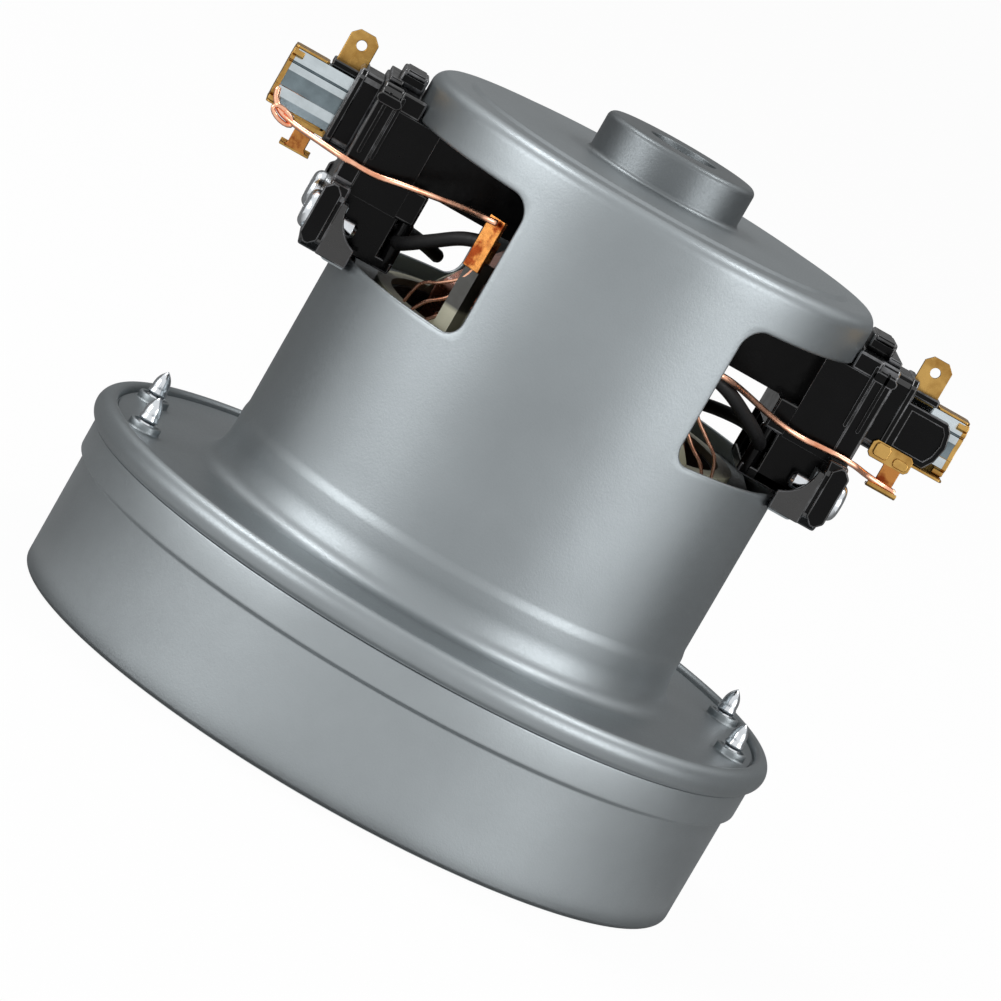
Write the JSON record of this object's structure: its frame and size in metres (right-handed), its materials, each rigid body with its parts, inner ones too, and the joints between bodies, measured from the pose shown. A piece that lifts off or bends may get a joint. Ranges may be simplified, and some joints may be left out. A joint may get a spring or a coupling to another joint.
{
  "type": "vacuum motor unit",
  "caption": "Brushed suction motor in a steel can over a wide round fan cover, with brush holders and tab terminals in two side windows and a bearing boss on top.",
  "frame": {"origin": "centre of the fan cover's bottom face, on the shaft axis", "axes": "+Z along the shaft from the fan to the bearing boss, X along the two brushes, -Y towards the solid side of the can that faces the viewer"},
  "size_m": [0.13, 0.13, 0.1147],
  "materials": {
    "can_steel": "satin",
    "cover_steel": "satin",
    "bare_steel": "satin",
    "lamination": "satin",
    "bright_zinc": "polished",
    "black_plastic": "gloss",
    "cream_plastic": "matte",
    "rubber": "matte",
    "brass": "satin",
    "copper": "bright",
    "varnished_copper": "gloss",
    "phenolic": "satin",
    "carbon": "matte",
    "aluminium": "satin"
  },
  "bodies": {
    "housing": {"motor_can": "can_steel", "fan_cover": "cover_steel", "eye_seal": "rubber", "bearing_bracket": "bare_steel", "diffuser": "black_plastic", "flange_screws": "bright_zinc", "stator_core": "lamination", "coil_former_upper": "cream_plastic", "coil_former_lower": "cream_plastic", "field_coil_front": "varnished_copper", "field_coil_rear": "varnished_copper", "field_terminal_left": "brass", "field_terminal_right": "brass", "coil_lead_left": "rubber", "coil_lead_right": "rubber", "bearing_boot": "rubber", "upper_bearing_outer": "bright_zinc", "lower_bearing_outer": "bright_zinc", "brush_holder_left": "black_plastic", "brush_holder_right": "black_plastic", "brush_tube_left": "bright_zinc", "brush_tube_right": "bright_zinc", "tube_clip_left": "brass", "tube_clip_right": "brass", "tab_terminal_left": "brass", "tab_terminal_right": "brass", "lead_wire_left": "copper", "lead_wire_right": "copper", "holder_screws": "bright_zinc"},
    "rotor": {"shaft": "bare_steel", "rotor_core": "lamination", "rotor_winding": "varnished_copper", "commutator_bars": "copper", "commutator_hub": "phenolic", "upper_bearing_inner": "bright_zinc", "lower_bearing_inner": "bright_zinc", "impeller_back_plate": "aluminium", "impeller_shroud": "aluminium", "impeller_blades": "aluminium", "impeller_spacer": "bare_steel", "clamp_washers": "bare_steel", "impeller_nut": "bright_zinc"},
    "upper_cage": {"upper_bearing_cage": "brass", "upper_bearing_balls": "bright_zinc"},
    "lower_cage": {"lower_bearing_cage": "brass", "lower_bearing_balls": "bright_zinc"},
    "brush_left": {"carbon_brush_left": "carbon", "brush_spring_left": "bare_steel", "brush_pigtail_left": "copper"},
    "brush_right": {"carbon_brush_right": "carbon", "brush_spring_right": "bare_steel", "brush_pigtail_right": "copper"}
  },
  "joints": [
    {"name": "rotor_spin", "type": "hinge", "parent": "housing", "child": "rotor", "pos_m": [0, 0, 0.06], "axis": [0, 0, 1], "continuous": true},
    {"name": "upper_cage_spin", "type": "hinge", "parent": "housing", "child": "upper_cage", "pos_m": [0, 0, 0.1094], "axis": [0, 0, 1], "continuous": true},
    {"name": "lower_cage_spin", "type": "hinge", "parent": "housing", "child": "lower_cage", "pos_m": [0, 0, 0.0255], "axis": [0, 0, 1], "continuous": true},
    {"name": "brush_left_slide", "type": "slide", "parent": "housing", "child": "brush_left", "axis": [-1, 0, 0], "range_m": [0, 0.006], "stiffness_N_per_m": 100, "springref_m": -0.03, "deforming": ["brush_spring_left", "brush_pigtail_left"]},
    {"name": "brush_right_slide", "type": "slide", "parent": "housing", "child": "brush_right", "axis": [1, 0, 0], "range_m": [0, 0.006], "stiffness_N_per_m": 100, "springref_m": -0.03, "deforming": ["brush_spring_right", "brush_pigtail_right"]}
  ],
  "couplings": [
    {"joint": "upper_cage_spin", "follows": "rotor_spin", "ratio": 0.368},
    {"joint": "lower_cage_spin", "follows": "rotor_spin", "ratio": 0.368}
  ]
}
